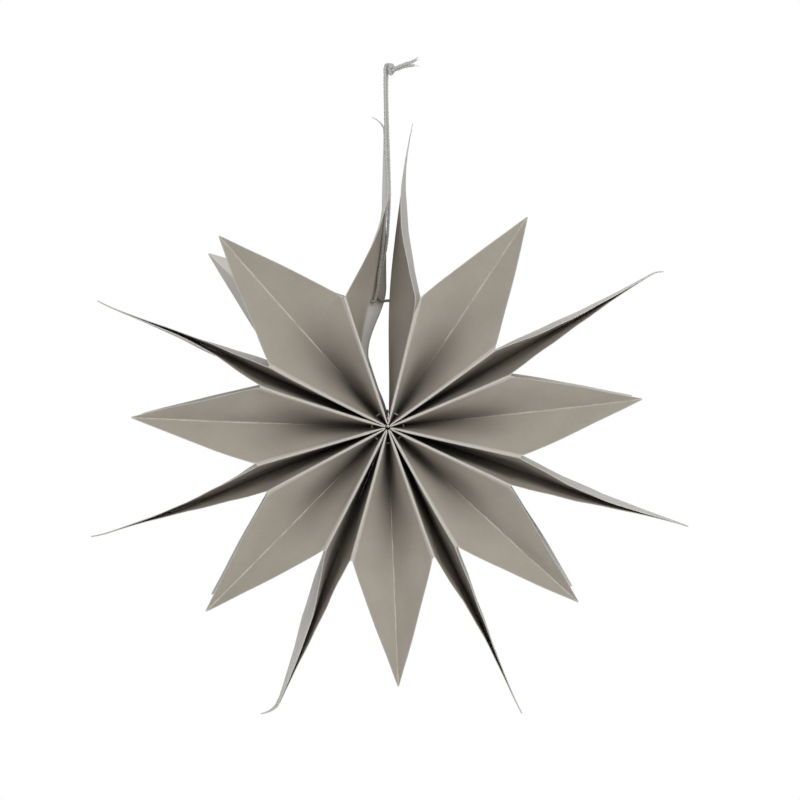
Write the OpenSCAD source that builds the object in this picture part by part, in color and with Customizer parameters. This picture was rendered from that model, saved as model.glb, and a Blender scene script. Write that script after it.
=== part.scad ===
// Hanging paper star: seven gusseted paper bags with pointed ends, glued side by side,
// opened like a fan to a full circle and held open by two knotted strings.
// Millimetres, +Z up. The star's axis runs along Y and its face looks along -Y.
// The origin is the inside top of the string loop, where a hook takes the weight.

/* [Paper bag] */
// Length of a bag from its closed end to its two points
bag_l = 150; // [110:1:220]
// Width of a bag laid flat
bag_w = 66; // [50:1:90]
// Depth of the gusset folded in at each side
gusset_d = 22; // [21:0.5:30]
// Length of the side folds, from the closed end to the slanting cuts
side_l = 61; // [45:1:80]
// Thickness of the paper
paper_t = 0.3; // [0.2:0.05:0.4]
// Length of the glued strip that closes the end of a bag
seal_l = 1.5; // [1:0.5:4]

/* [Gluing] */
// Width of the glued strip between neighbouring bags
glue_w = 3; // [2:0.5:8]
// Thickness of the glue between two bags
glue_t = 0.04; // [0.02:0.01:0.1]
// Room left inside a pressed fold
fold_gap = 0.1; // [0.08:0.02:0.3]

/* [Strings] */
// Diameter of the hanging strings
string_d = 1.4; // [1:0.1:2]
// Room around a string in its punched hole
hole_gap = 0.3; // [0.2:0.05:0.5]
// Diameter of the stopper knots inside the two end bags
stopper_d = 4; // [3:0.5:6]
// Height of the hanging point above the star's axis
hang_h = 171; // [165:1:260]
// Distance of the punched holes from the star's axis
hole_r = 61; // [50:1:80]

/* [Binding thread] */
// Diameter of the thread that gathers the closed ends
thread_d = 0.8; // [0.5:0.1:1.2]
// Radius of the thread's ring around the star's axis
thread_r = 7.4; // [6:0.2:12]
// Room around the thread where it pierces the paper
pierce_gap = 0.08; // [0.05:0.01:0.2]

/* [Hidden] */
half_w = bag_w / 2;
// The fold in the middle of a gusset is cut where the slanting cut reaches it.
crease_l = side_l + (bag_l - side_l) * gusset_d / half_w;
slant_l = norm([gusset_d, crease_l - side_l]);
// Length of the bag that the strays below were judged at.
judged_l = 150;
size = bag_l / judged_l;
// Length of the side folds that the openings below were judged at, and how much of a change
// in it the openings follow.
judged_side = 61;
widening = 0.8;
toward = [0, -1, 0];

// Centre line of each panel, degrees anticlockwise from +X seen from the front.
// The first and the last are the two free end panels beside the gap at the top.
line_angle = [87.1, 30.3, -18.1, -65, -111.7, -159.5, -203.5, -269.4];
// Sideways bow of each centre line, the part of its length that bows, and how much
// of the bow reaches the side folds.
line_bow = [[2.5, 0, 0.8, 0], [0, 0, 1, 1], [-0.9, 0.3, 1, 1], [0.9, 0.3, 1, 1],
            [-0.5, 0, 1, 1], [1.4, 0.3, 1, 1], [-1.3, 0.3, 1, 1], [9.5, 0, 0.44, 0]];
// Sideways bend of each point, and the length that is bent.
line_curl = [[-4.4, 60], [-1.8, 6], [-0.2, 10], [0.3, 10],
             [-6, 10], [-1.1, 10], [-0.5, 10], [6, 9]];
// Nod of the two free points away from the front.
line_nod = [24, 0, 0, 0, 0, 0, 0, 12];
// Lean of each point out of the star's axis, as a slope.
line_lean = [0.035, -0.025, -0.05, 0.01, 0.115, -0.04, -0.065, -0.1];
// Part of the length where a point has closed up, in front and behind.
line_close = [[0.77, 0.86], [0.8, 0.8], [0.84, 0.84], [0.8, 0.8],
              [0.8, 0.8], [0.8, 0.8], [0.8, 0.8], [0.72, 0.66]];
// Opening of each bag's two panels at the end of the side folds, as a sine,
// and how much of it moves from one panel to the other at the back.
open_left = [0.355, 0.2, 0.195, 0.17, 0.185, 0.2, 0.16];
open_right = [0.23, 0.235, 0.175, 0.215, 0.21, 0.15, 0.62];
open_shift = [0.05, 0.005, -0.012, 0, 0.03, 0, 0.02];
// Small turn of each gusset's tip about the star's axis, in front and behind, and how far
// a gusset that is pulled wide lies back.
tip_stray = [[0.2, 0.4, 6.5], [0.7, 0.4, 0], [0, 0.15, 0], [0.15, 0, 0],
             [0, 0.1, 0], [-0.8, -0.3, 0], [1.1, 7, 23]];
// Soft crease that its string has pulled into the last panel: height and length.
pull_h = 3.4;
pull_l = 80;
// How far the closed ends are pushed up at the front, and how far out that is felt.
lift_h = 2;
lift_r = 100;
// How much lower the first bag's left panel is cut at its front side fold.
cut_short = 9;

// The closed ends stand off the axis just enough for their folded layers.
narrowest = min([for (b = [0:6]) line_angle[b] - line_angle[b + 1]]);
hub_r = (2 * paper_t + 2 * fold_gap + glue_t) / sin(narrowest / 2) * 1.03;
// Their middles are gathered to a point beside the axis.
pinch_r = 0.15;

// Depth of the binding thread in front of the star's middle.
thread_y = half_w - 0.6 * gusset_d;
rows = 11;

function along(a) = [cos(a), 0, sin(a)];
function across(a) = [-sin(a), 0, cos(a)];
function unit(v) = v / norm(v);
function ease(s) = let (c = min(1, max(0, s))) c * c * (3 - 2 * c);
function mid_angle(bag) = (line_angle[bag] + line_angle[bag + 1]) / 2;

// Every bag has a left panel (side -1) and a right panel (side 1), and each of
// them has a front half (face 1) and a back half (face -1).
function line_of(bag, side) = bag + (side + 1) / 2;
// Longer side folds end further apart. Their panels open by most of that, so that the
// gussets still span them and their tips stay as deep.
function spread(bag, side, face) =
    (side < 0 ? open_left[bag] : open_right[bag]) - (face < 0 ? side * open_shift[bag] : 0)
    + widening * (side_l - judged_side) * tan(narrowest / 2) / (half_w - glue_w / 2);

// Slope of a half panel out of its glued strip, at a distance s from the closed end.
function slope(bag, side, face, s) =
    let (stop = line_close[line_of(bag, side)][face > 0 ? 0 : 1] * bag_l)
    let (part = max(0, 1 - (s - side_l) / (stop - side_l)))
    spread(bag, side, face) * (s < side_l ? s / side_l : pow(part, 0.8));

// Stray of a centre line from the straight: sideways, and along and back for the
// paper that a bend or a nod takes up.
function bent(line, s) = max(0, s / size - judged_l + line_curl[line][1]) / line_curl[line][1];
function nodded(s) = max(0, (s - side_l) / (bag_l - side_l));
function sideways(line, x, s) =
    let (bow = line_bow[line])
    let (turn = max(0, s / bag_l - bow[1]) / (bow[2] - bow[1]))
    let (held = 1 - (1 - bow[3]) * x / half_w)
    size * (bow[0] * held * (turn < 1 ? pow(sin(180 * turn), 2) : 0)
            + line_curl[line][0] * pow(bent(line, s), 2));
function taken_up(line, s) =
    size * pow(line_curl[line][0], 2) / line_curl[line][1] / 3 * pow(bent(line, s), 2)
    + pow(line_nod[line] * size, 2) / (bag_l - side_l) * 2 / 3 * pow(nodded(s), 2);

function pulled(line, face, x, s) =
    let (crest = half_w - gusset_d)
    let (near = min(x / crest, (half_w - x) / (half_w - crest)))
    line < 7 || face < 0 || s > pull_l * size ? 0
        : pull_h * size * near * pow(sin(180 * s / pull_l / size), 2);

// Place of a point once the closed ends are pushed up.
function lifted(p) =
    let (near = max(0, 1 - norm([p[0], p[2]]) / lift_r / size))
    p + [0, 0, lift_h * size * near * near * (half_w - p[1]) / bag_w];

// Middle of the paper of a half panel, x from its centre line and s from the closed end.
function panel_at(bag, side, face, x, s) =
    let (line = line_of(bag, side))
    let (a = line_angle[line])
    let (k = slope(bag, side, face, s))
    let (out = max(0, x - glue_w / 2))
    let (lean = line_lean[line] * ease((s - side_l) / (bag_l - side_l) * 2))
    let (shift = sideways(line, x, s) + side * (glue_t / 2 + paper_t / 2 + k * out) + lean * face * x
                 + pulled(line, face, x, s))
    along(a) * (hub_r + s - taken_up(line, s)) + across(a) * shift
    + toward * (face * (x - out + out * sqrt(1 - k * k)) - line_nod[line] * size * pow(nodded(s), 2));

// Direction from a half panel to the inside of its bag.
function panel_in(bag, side, face, s) =
    let (k = slope(bag, side, face, s))
    across(line_angle[line_of(bag, side)]) * side * sqrt(1 - k * k) - toward * face * k;

// Point at given distances from three others: the paper of a gusset does not stretch,
// so its tip lies where its middle fold and its two slanting cuts meet.
function meet(p, q, r, dp, dq, dr, turn) =
    let (d = norm(q - p))
    let (ex = (q - p) / d)
    let (i = ex * (r - p))
    let (j = norm(r - p - i * ex))
    let (ey = (r - p - i * ex) / j)
    let (u = (dp * dp - dq * dq + d * d) / (2 * d))
    let (v = (dp * dp - dr * dr + i * i + j * j) / (2 * j) - i / j * u)
    p + ex * u + ey * v + cross(ex, ey) * turn * sqrt(max(0, dp * dp - u * u - v * v));

function crease_root(bag, face) =
    along(mid_angle(bag)) * hub_r + toward * face * (half_w - gusset_d);
function turned(p, a) = along(a) * p[0] + across(a) * p[2] + [0, p[1], 0];
function crease_tip(bag, face) =
    let (root = crease_root(bag, face))
    let (tip = meet(root, panel_at(bag, -1, face, half_w, side_l),
                    panel_at(bag, 1, face, half_w, side_l), crease_l, slant_l, slant_l, face))
    let (way = unit(tip - root - toward * face * tip_stray[bag][2] * size))
    turned(root + way * crease_l, tip_stray[bag][face > 0 ? 0 : 1]);
function crease_run(bag, face) = (crease_tip(bag, face) - crease_root(bag, face)) / crease_l;

// Middle of the paper of a gusset, x from the side fold and s from the closed end.
function gusset_at(bag, side, face, x, s, run) =
    let (under = across(line_angle[line_of(bag, side)]) * side * (paper_t + fold_gap))
    let (fold = panel_at(bag, side, face, half_w, min(s, side_l)) + under
                + run * max(0, s - side_l))
    let (half = across(mid_angle(bag)) * side * (paper_t + fold_gap) / 2)
    let (crease = crease_root(bag, face) + run * s - half)
    fold + (crease - fold) * x / gusset_d;

// Direction from a gusset to the inside of its bag.
function gusset_in(bag, side, face, s, run) =
    let (ruling = gusset_at(bag, side, face, gusset_d, s, run) - gusset_at(bag, side, face, 0, s, run))
    unit(cross(ruling, run)) * side * face;

// Columns of points around a bag: gusset or panel, side, face, and the distance x of the
// outer and of the inner skin from the panel's middle or from the side fold.
function half_columns(side, face) = [
    [false, side, face, glue_w / 2, glue_w / 2],
    [false, side, face, half_w - gusset_d, half_w - gusset_d],
    [false, side, face, half_w - gusset_d / 2, half_w - gusset_d / 2],
    [false, side, face, half_w, half_w - paper_t],
    [true, side, face, 0, paper_t],
    [true, side, face, gusset_d / 2, gusset_d / 2],
    [true, side, face, gusset_d - paper_t, gusset_d]];
function back_to_front(list) = [for (i = [len(list) - 1:-1:0]) list[i]];
columns = concat([[false, -1, 1, 0, 0]], half_columns(-1, 1), back_to_front(half_columns(1, 1)),
                 [[false, 1, 1, 0, 0]], half_columns(1, -1), back_to_front(half_columns(-1, -1)));
count = len(columns);

// Point of one skin of the paper; skin is -1 outside and 1 inside.
function skin_at(bag, column, row, skin, runs) =
    let (side = column[1])
    let (face = column[2])
    let (x = skin < 0 ? column[3] : column[4])
    let (short = bag == 0 && side < 0 && face > 0 ? cut_short * size : 0)
    let (far = column[0] ? side_l + (crease_l - side_l) * x / gusset_d
                         : bag_l - (bag_l - side_l + short) * x / half_w)
    let (near = skin < 0 ? 0 : seal_l)
    let (s = max(near + 0.1 * row, far * (row / rows + ease(row / rows)) / 2))
    let (run = runs[face > 0 ? 0 : 1])
    lifted(column[0]
        ? gusset_at(bag, side, face, x, s, run) + gusset_in(bag, side, face, s, run) * skin * paper_t / 2
        : panel_at(bag, side, face, x, s) + panel_in(bag, side, face, s) * skin * paper_t / 2);

// Faces between column c and the next one, split so that pressed layers stay apart.
function strip(c, first, flip) =
    let (d = (c + 1) % count)
    let (rising = c % (count / 2) < 8)
    [for (r = [0:rows - 1])
        let (p = first + c * (rows + 1) + r)
        let (q = first + d * (rows + 1) + r)
        each rising ? [flip ? [p, q + 1, p + 1] : [p, p + 1, q + 1],
                       flip ? [p, q, q + 1] : [p, q + 1, q]]
                    : [flip ? [p, q, p + 1] : [p, p + 1, q],
                       flip ? [q, q + 1, p + 1] : [q, p + 1, q + 1]]];

// The closed end: columns joined in threes across the folded layers.
front_faces = [[2, 3, 6], [2, 6, 7], [3, 4, 5], [3, 5, 6], [8, 9, 12], [8, 12, 13],
               [9, 10, 11], [9, 11, 12], [1, 2, 7], [1, 7, 8], [1, 8, 14], [8, 13, 14]];
end_faces = concat(front_faces, [for (f = front_faces) [for (c = f) c + count / 2]]);
// Its middle, pinched to a point outside and flat inside.
pinch = [1, 14, 15, 16, 29, 0];
pinch_floor = [[0, 1, 14], [0, 14, 15], [15, 16, 29], [15, 29, 0]];

module folded_bag(bag) {
    runs = [crease_run(bag, 1), crease_run(bag, -1)];
    outer = [for (c = columns) for (r = [0:rows]) skin_at(bag, c, r, -1, runs)];
    inner = [for (c = columns) for (r = [0:rows]) skin_at(bag, c, r, 1, runs)];
    n = len(outer);
    sides = [for (c = [0:count - 1]) each concat(strip(c, 0, false), strip(c, n, true))];
    rim = [for (c = [0:count - 1])
        let (p = c * (rows + 1) + rows)
        let (q = (c + 1) % count * (rows + 1) + rows)
        each [[p, n + p, q], [q, n + p, n + q]]];
    ends = [for (f = end_faces) [for (c = f) c * (rows + 1)]];
    floors = [for (f = concat(end_faces, pinch_floor)) [for (i = [2:-1:0]) n + f[i] * (rows + 1)]];
    point = [for (i = [0:5]) [pinch[i] * (rows + 1), pinch[(i + 1) % 6] * (rows + 1), 2 * n]];
    polyhedron(points = concat(outer, inner, [lifted(along(mid_angle(bag)) * pinch_r)]),
               faces = concat(sides, rim, ends, floors, point), convexity = 12);
}

// Holes for the strings: left in the last bag, right in the first.
hole_s = hole_r - hub_r;
left_x = 0.3 * half_w;
left_hole = lifted(panel_at(6, 1, 1, left_x, hole_s));
left_in = panel_in(6, 1, 1, hole_s);
right_hole = lifted(panel_at(0, -1, 1, 0, hole_s));
right_in = panel_in(0, -1, 1, 0);

// Round bar of a given diameter along a direction, centred on a point.
module bar(middle, way, d, l) {
    translate(middle)
        rotate([0, acos(way[2] / norm(way)), atan2(way[1], way[0])])
            cylinder(d = d, h = l, center = true, $fn = 24);
}

module thread_ring(d) {
    translate(lifted([thread_r, -thread_y, 0]) - [thread_r, 0, 0])
        rotate([90, 0, 0])
            rotate_extrude($fn = 96)
                translate([thread_r, 0])
                    circle(d = d, $fn = 16);
}

module paper_bag(bag) {
    color([0.63, 0.59, 0.54])
        translate([0, 0, -hang_h])
            difference() {
                folded_bag(bag);
                thread_ring(thread_d + 2 * pierce_gap);
                if (bag == 6) bar(left_hole, left_in, string_d + 2 * hole_gap, 6 * paper_t);
                if (bag == 0) bar(right_hole, right_in, string_d + 2 * hole_gap, 6 * paper_t);
            }
}

// A string goes from its stopper knot through its hole, up to the top knot and out in
// a short tail. Way points: sideways, forward, and part of the way up from the hole.
left_way = [[-4.9, 10.2, 0.05], [-4.1, 10.2, 0.12], [-2.5, 9.8, 0.22], [-1.6, 9.7, 0.32],
            [-0.7, 10.4, 0.4], [0.2, 10, 0.465], [-0.2, 8.8, 0.54], [-1, 6.3, 0.63],
            [-1.3, 3.2, 0.8], [-1.7, 0.9, 0.95], [-1.2, 0, 1.008], [0.6, 0.3, 1.02],
            [2.4, 0.8, 1.011], [6, 0.8, 1.02], [11, 0.6, 1.034], [15, 0.5, 1.046]];
right_way = [[-1.6, 2.8, 0], [-4.2, 6.8, 0.012], [-4.7, 8, 0.04], [-3.9, 8.5, 0.1],
             [-2.2, 8.6, 0.17], [-0.6, 8.2, 0.25], [0.2, 7.2, 0.34], [0.75, 5.8, 0.46],
             [0.5, 3.6, 0.62], [0, 1.3, 0.8], [-0.1, -0.4, 0.92], [0.5, -1, 0.97],
             [2.4, -1.2, 1], [5, -1.2, 1.012], [9, -1.1, 1.022], [13.4, -1.1, 1.02]];
function way_points(hole, list) =
    [for (w = list) [w[0] * size, -w[1] * size, hole[2] + w[2] * (hang_h - hole[2])]];

// Smooth curve through the way points, with a few steps between each two.
function bend(p, q, r, s, t) =
    0.5 * (2 * q + (r - p) * t + (2 * p - 5 * q + 4 * r - s) * t * t
           + (3 * q - p - 3 * r + s) * t * t * t);
function smooth(list, steps) =
    let (last = len(list) - 1)
    concat([for (i = [0:last - 1]) for (k = [0:steps - 1])
        bend(list[max(0, i - 1)], list[i], list[i + 1], list[min(last, i + 2)], k / steps)],
        [list[last]]);

// Round cord with a swelling at its start for the stopper and at the top for the knot.
module cord(path, knot_at) {
    sides = 8;
    last = len(path) - 1;
    points = [for (i = [0:last])
        let (way = unit(path[min(last, i + 1)] - path[max(0, i - 1)]))
        let (u = unit(cross(way, [0.3, 1, 0.2])))
        let (v = cross(way, u))
        let (start = norm(path[i] - path[0]))
        let (knot = norm(path[i] - knot_at))
        let (r = start < stopper_d ? stopper_d / 2 * sqrt(max(0.06, 1 - pow(start / stopper_d * 2 - 0.9, 2))) : 0)
        let (k = knot < 2.2 ? 0.5 * string_d * (1 + 0.35 * cos(knot / 2.2 * 90)) : 0)
        for (j = [0:sides - 1])
            path[i] + max(string_d / 2, r, k) * (u * cos(360 * j / sides) + v * sin(360 * j / sides))];
    walls = [for (i = [0:last - 1]) for (j = [0:sides - 1])
        let (p = i * sides + j)
        let (q = i * sides + (j + 1) % sides)
        each [[p, p + sides, q], [q, p + sides, q + sides]]];
    caps = [[for (j = [0:sides - 1]) j], [for (j = [sides - 1:-1:0]) last * sides + j]];
    polyhedron(points = points, faces = concat(walls, caps), convexity = 8);
}

// The stopper knot stands a little off the paper.
stopper_gap = 1;
stopper_run = concat([for (part = [0.96, 0.72, 0.48, 0.24]) stopper_d * part + stopper_gap], [0.4]);

module left_string() {
    inside = [for (r = stopper_run) left_hole + left_in * (r + paper_t)];
    outside = concat([left_hole, left_hole - left_in * 2], way_points(left_hole, left_way));
    color([0.72, 0.72, 0.71])
        translate([0, 0, -hang_h])
            cord(concat(inside, smooth(outside, 3)), [2.4 * size, 0, hang_h + 1]);
}

module right_string() {
    inside = [for (r = stopper_run) right_hole + right_in * (r + paper_t)];
    outside = concat([right_hole, right_hole - right_in * 1.4], way_points(right_hole, right_way));
    color([0.72, 0.72, 0.71])
        translate([0, 0, -hang_h])
            cord(concat(inside, smooth(outside, 3)), [2.4 * size, 0, hang_h + 1]);
}

module binding_thread() {
    color([0.75, 0.74, 0.72])
        translate([0, 0, -hang_h])
            thread_ring(thread_d);
}

paper_bag(0);  // paper_bag_1
paper_bag(1);  // paper_bag_2
paper_bag(2);  // paper_bag_3
paper_bag(3);  // paper_bag_4
paper_bag(4);  // paper_bag_5
paper_bag(5);  // paper_bag_6
paper_bag(6);  // paper_bag_7
left_string();
right_string();
binding_thread();
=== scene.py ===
"""Looks of the hanging paper star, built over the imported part. Metres, same frame as the part."""
import math
import bpy
import numpy as np
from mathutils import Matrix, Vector


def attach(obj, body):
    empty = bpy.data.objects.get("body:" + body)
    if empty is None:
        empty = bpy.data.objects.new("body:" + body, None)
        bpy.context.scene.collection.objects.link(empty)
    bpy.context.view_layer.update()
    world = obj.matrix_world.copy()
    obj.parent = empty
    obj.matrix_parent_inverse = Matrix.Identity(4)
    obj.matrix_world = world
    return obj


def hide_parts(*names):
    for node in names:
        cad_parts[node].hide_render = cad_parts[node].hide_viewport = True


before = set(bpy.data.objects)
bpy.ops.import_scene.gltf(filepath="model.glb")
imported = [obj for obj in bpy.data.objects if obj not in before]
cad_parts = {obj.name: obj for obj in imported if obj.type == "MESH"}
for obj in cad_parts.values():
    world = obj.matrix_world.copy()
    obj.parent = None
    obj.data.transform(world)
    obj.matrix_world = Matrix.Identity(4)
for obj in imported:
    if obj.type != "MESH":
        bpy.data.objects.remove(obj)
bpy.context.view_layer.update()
scene = bpy.context.scene
scene.view_settings.view_transform = "Standard"

# Sizes of the part, in millimetres
BAGS = 7
BAG_L, HALF_W, GUSSET_D, SIDE_L, PAPER_T = 150.0, 33.0, 22.0, 61.0, 0.3
GLUE_W, GLUE_T, FOLD_GAP = 3.0, 0.04, 0.1
STRING_D, HANG_H, HOLE_R = 1.4, 171.0, 61.0
CREASE_L = SIDE_L + (BAG_L - SIDE_L) * GUSSET_D / HALF_W
SLANT_L = math.hypot(GUSSET_D, CREASE_L - SIDE_L)

# Lines that the panels lie along: the right end panel, six glued pairs, the left end panel.
# Bow: height, start and end as shares of the length, share of the height left at the side fold.
# Curl: how far the tip turns aside, and over which length. Nod: how far the tip lies back.
LINE_ANGLE = [87.1, 30.3, -18.1, -65, -111.7, -159.5, -203.5, -269.4]
LINE_BOW = [(2.5, 0, 0.8, 0), (0, 0, 1, 1), (-0.9, 0.3, 1, 1), (0.9, 0.3, 1, 1),
            (-0.5, 0, 1, 1), (1.4, 0.3, 1, 1), (-1.3, 0.3, 1, 1), (9.5, 0, 0.44, 0)]
LINE_CURL = [(-4.4, 60), (-1.8, 6), (-0.2, 10), (0.3, 10),
             (-6, 10), (-1.1, 10), (-0.5, 10), (6, 9)]
LINE_NOD = [24, 0, 0, 0, 0, 0, 0, 12]
LINE_LEAN = [0.035, -0.025, -0.05, 0.01, 0.115, -0.04, -0.065, -0.1]
# The narrow points close a little further out than in the part, and more gently.
# Share of the length at which they close, front and back, and the power of the closing.
LINE_CLOSE = [(0.77, 0.86), (0.94, 0.94), (0.98, 0.98), (0.96, 0.96),
              (0.94, 0.94), (0.94, 0.94), (0.94, 0.94), (0.72, 0.66)]
LINE_EASE = [0.8, 1.1, 1.1, 0.95, 1.1, 1.1, 1.1, 0.8]
# How far each bag's left and right panels open, and how the back differs
OPEN_LEFT = [0.355, 0.2, 0.195, 0.17, 0.185, 0.2, 0.16]
OPEN_RIGHT = [0.23, 0.235, 0.175, 0.215, 0.21, 0.15, 0.62]
OPEN_SHIFT = [0.05, 0.005, -0.012, 0, 0.03, 0, 0.02]
OPEN_SOFT, OPEN_EDGE = 0.06, 4
# Gusset tips: turn of the front and back tip in degrees, push towards the middle
TIP_STRAY = [(0.2, 0.4, 6.5), (0.7, 0.4, 0), (0, 0.15, 0), (0.15, 0, 0),
             (0, 0.1, 0), (-0.8, -0.3, 0), (1.1, 7, 23)]
PULL_H, PULL_L, CREST_DIP, CREST_W = 3.4, 80.0, 0.10, 1.6
LIFT_H, LIFT_R = 2.0, 100.0
LEAN_RATE = 2
CUT_SHORT = 9.0
NARROWEST = min(LINE_ANGLE[b] - LINE_ANGLE[b + 1] for b in range(BAGS))
HUB_ROOM = 1.03
HUB_R = ((2 * PAPER_T + 2 * FOLD_GAP + GLUE_T) / math.sin(math.radians(NARROWEST / 2))
         * HUB_ROOM)
TOWARD = np.array([0.0, -1.0, 0.0])

# Bag, side and face of the end panels that differ: side -1 is the left one, face 1 the front
LOW_CUT_PANEL, PULLED_PANEL = (0, -1, 1), (6, 1, 1)
PULLED_LINE = 7


def along(a):
    a = math.radians(a)
    return np.array([math.cos(a), 0.0, math.sin(a)])


def across(a):
    a = math.radians(a)
    return np.array([-math.sin(a), 0.0, math.cos(a)])


def unit(v):
    return v / np.maximum(np.linalg.norm(v, axis=-1, keepdims=True), 1e-12)


def ease(t):
    t = np.clip(t, 0, 1)
    return t * t * (3 - 2 * t)


def metres(points):
    """Millimetres about the star's axis to metres about the hanging point."""
    return (np.asarray(points, float) - np.array([0, 0, HANG_H])) / 1000


# Camera: a little above the star's axis, as the shift between its front and back layers shows
PIXEL, PHOTO_SIDE, SENSOR = 0.481, 800, 36
FAR, RISE = 1446.0, math.radians(2.33)
EYE_X, EYE_Z = 5.79, 13.51
cam = bpy.data.objects.new("camera", bpy.data.cameras.new("camera"))
scene.collection.objects.link(cam)
scene.camera = cam
cam.location = Vector(metres((EYE_X, -FAR * math.cos(RISE) + EYE_Z * math.sin(RISE),
                              EYE_Z * math.cos(RISE) + FAR * math.sin(RISE))))
cam.rotation_euler = (math.pi / 2 - RISE, 0, 0)
cam.data.sensor_width = SENSOR
cam.data.lens = SENSOR * FAR / (PHOTO_SIDE * PIXEL)
cam.data.clip_start, cam.data.clip_end = 0.01, 50


# Form of the paper, as in the part. x runs from a panel's middle to its side fold, or from a
# gusset's side fold to its middle fold, and s from the closed end to the cut.
def line_of(bag, side):
    return bag + (side + 1) // 2


def slope(bag, side, face, x, s):
    """Sine of the angle by which a panel opens."""
    line = line_of(bag, side)
    spread = (OPEN_LEFT if side < 0 else OPEN_RIGHT)[bag]
    if face < 0:
        spread = spread - side * OPEN_SHIFT[bag]
    stop = LINE_CLOSE[line][0 if face > 0 else 1] * BAG_L
    rise = s / SIDE_L
    fall = np.clip(1 - (s - SIDE_L) / (stop - SIDE_L), 0, None) ** LINE_EASE[line]
    sharp = np.minimum(rise, fall)
    soft = -OPEN_SOFT * np.log(np.exp(-rise / OPEN_SOFT) + np.exp(-fall / OPEN_SOFT))
    return spread * (soft + (sharp - soft) * (x / HALF_W) ** OPEN_EDGE)


def bent(line, s):
    return np.clip(s - BAG_L + LINE_CURL[line][1], 0, None) / LINE_CURL[line][1]


def nodded(s):
    return np.clip((s - SIDE_L) / (BAG_L - SIDE_L), 0, None)


def sideways(line, x, s):
    bow = LINE_BOW[line]
    turn = np.clip(s / BAG_L - bow[1], 0, None) / (bow[2] - bow[1])
    held = 1 - (1 - bow[3]) * x / HALF_W
    wave = np.where(turn < 1, np.sin(np.pi * turn) ** 2, 0)
    return bow[0] * held * wave + LINE_CURL[line][0] * bent(line, s) ** 2


def taken_up(line, s):
    """How much nearer a curled or nodding tip ends, since paper keeps its length."""
    curl = LINE_CURL[line]
    return (curl[0] ** 2 / curl[1] / 3 * bent(line, s) ** 2
            + LINE_NOD[line] ** 2 / (BAG_L - SIDE_L) * 2 / 3 * nodded(s) ** 2)


def soft_crease(line, face, x, s):
    """The string has pulled a soft crease into the left end panel, through its hole."""
    if line != PULLED_LINE or face < 0:
        return 0 * s
    crest = HALF_W - GUSSET_D
    tent = np.minimum(x / crest, (HALF_W - x) / (HALF_W - crest))
    tent = tent - CREST_DIP * np.exp(-((x - crest) / CREST_W) ** 2)
    return PULL_H * tent * np.sin(np.pi * np.clip(s / PULL_L, 0, 1)) ** 2


def lifted(p):
    """The closed ends are pushed up a little at the front."""
    near = np.clip(1 - np.hypot(p[..., 0], p[..., 2]) / LIFT_R, 0, None)
    rise = LIFT_H * near ** 2 * (HALF_W - p[..., 1]) / HALF_W / 2
    return p + rise[..., None] * np.array([0.0, 0.0, 1.0])


def panel_at(bag, side, face, x, s):
    x, s = np.broadcast_arrays(np.asarray(x, float), np.asarray(s, float))
    line = line_of(bag, side)
    a = LINE_ANGLE[line]
    k = slope(bag, side, face, x, s)
    out = np.clip(x - GLUE_W / 2, 0, None)
    lean = LINE_LEAN[line] * ease((s - SIDE_L) / (BAG_L - SIDE_L) * LEAN_RATE)
    shift = (sideways(line, x, s) + side * (GLUE_T / 2 + PAPER_T / 2 + k * out)
             + lean * face * x + soft_crease(line, face, x, s))
    deep = face * (x - out + out * np.sqrt(1 - k * k)) - LINE_NOD[line] * nodded(s) ** 2
    reach = HUB_R + s - taken_up(line, s)
    return (reach[..., None] * along(a) + shift[..., None] * across(a)
            + deep[..., None] * TOWARD)


def panel_in(bag, side, face, x, s):
    """Direction from a panel into its bag."""
    x, s = np.broadcast_arrays(np.asarray(x, float), np.asarray(s, float))
    k = slope(bag, side, face, x, s)[..., None]
    inward = across(LINE_ANGLE[line_of(bag, side)]) * side
    return inward * np.sqrt(1 - k * k) - TOWARD * face * k


def mid_angle(bag):
    return (LINE_ANGLE[bag] + LINE_ANGLE[bag + 1]) / 2


def meet(p, q, r, dp, dq, dr, turn):
    """Point at the distances dp, dq and dr from p, q and r."""
    d = np.linalg.norm(q - p)
    ex = (q - p) / d
    i = ex @ (r - p)
    ey = r - p - i * ex
    j = np.linalg.norm(ey)
    ey = ey / j
    u = (dp * dp - dq * dq + d * d) / (2 * d)
    v = (dp * dp - dr * dr + i * i + j * j) / (2 * j) - i / j * u
    height = math.sqrt(max(0, dp * dp - u * u - v * v))
    return p + ex * u + ey * v + np.cross(ex, ey) * turn * height


def crease_root(bag, face):
    return along(mid_angle(bag)) * HUB_R + TOWARD * face * (HALF_W - GUSSET_D)


def crease_run(bag, face):
    """Direction of a gusset's middle fold: its tip is where the fold and both cuts meet."""
    root = crease_root(bag, face)
    tip = meet(root, panel_at(bag, -1, face, HALF_W, SIDE_L),
               panel_at(bag, 1, face, HALF_W, SIDE_L), CREASE_L, SLANT_L, SLANT_L, face)
    stray = TIP_STRAY[bag]
    way = unit(tip - root - TOWARD * face * stray[2])
    tip = root + way * CREASE_L
    a = stray[0 if face > 0 else 1]
    tip = along(a) * tip[0] + across(a) * tip[2] + np.array([0, tip[1], 0])
    return (tip - root) / CREASE_L


SQUEEZE_L, SQUEEZE_LEAST = 1.7, 0.3


def squeeze(s):
    """Share of its thickness that the paper keeps past the closed end."""
    return np.clip(1 + s / SQUEEZE_L, SQUEEZE_LEAST, 1)


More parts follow.
